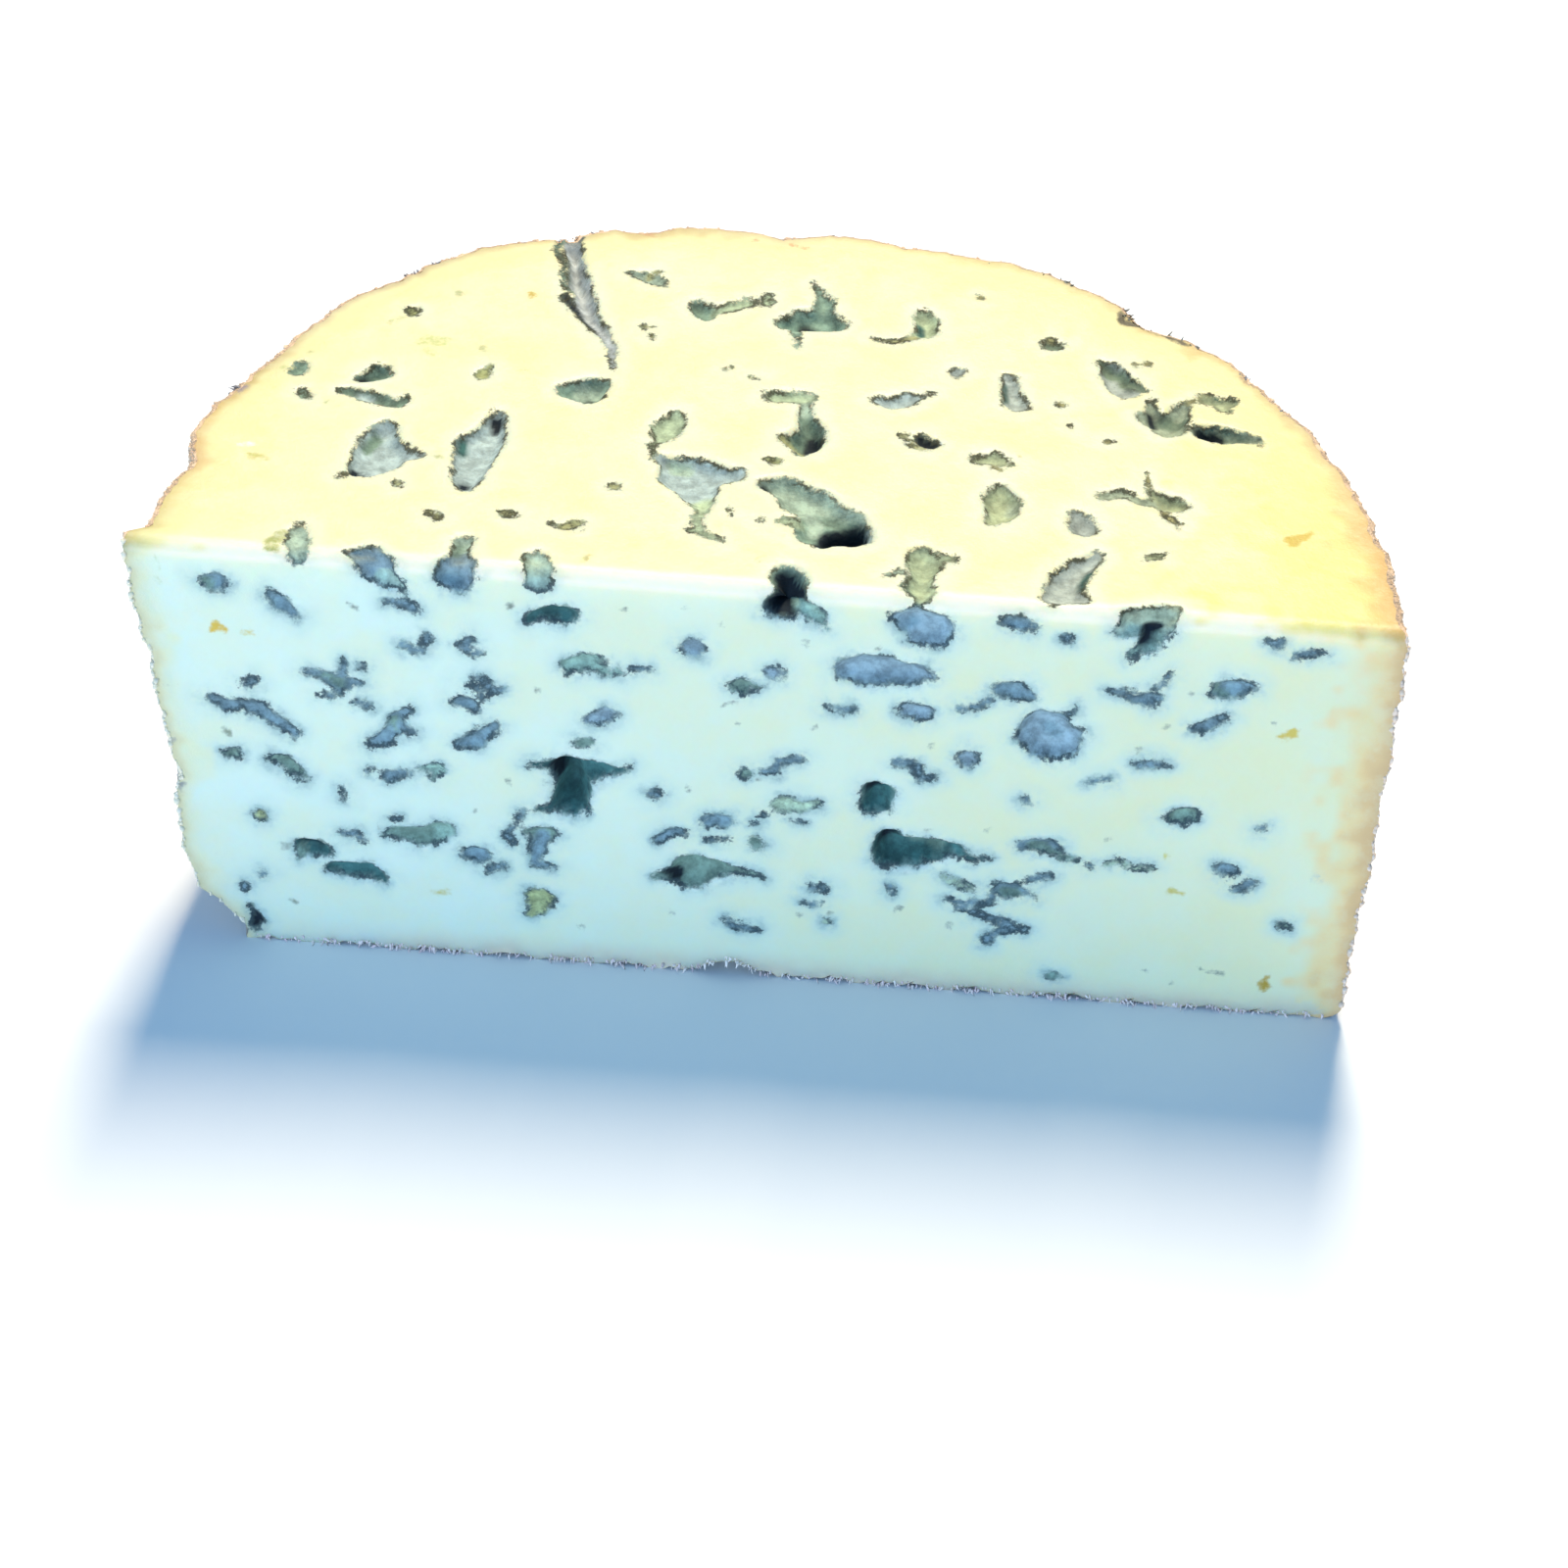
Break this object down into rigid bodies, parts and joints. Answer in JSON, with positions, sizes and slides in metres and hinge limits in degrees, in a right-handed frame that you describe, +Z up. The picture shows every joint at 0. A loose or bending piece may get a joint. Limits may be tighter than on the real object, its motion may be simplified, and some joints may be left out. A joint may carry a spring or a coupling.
{
  "type": "half drum of blue cheese",
  "caption": "Half-round slab of fourme d'Ambert blue cheese with an upright and a level cut face, open mould pockets and a dry rind.",
  "frame": {"origin": "on the ground under the middle of the slab's box", "axes": "+X along the upright cut face to its right end, +Y back from the cut face into the slab, +Z up"},
  "size_m": [0.1318, 0.0694, 0.053],
  "materials": {
    "cheese": "soft waxy paste, cream with blue-green mould pockets, dry grey-beige rind"
  },
  "bodies": {
    "root": {"cheese": "cheese"}
  },
  "joints": []
}
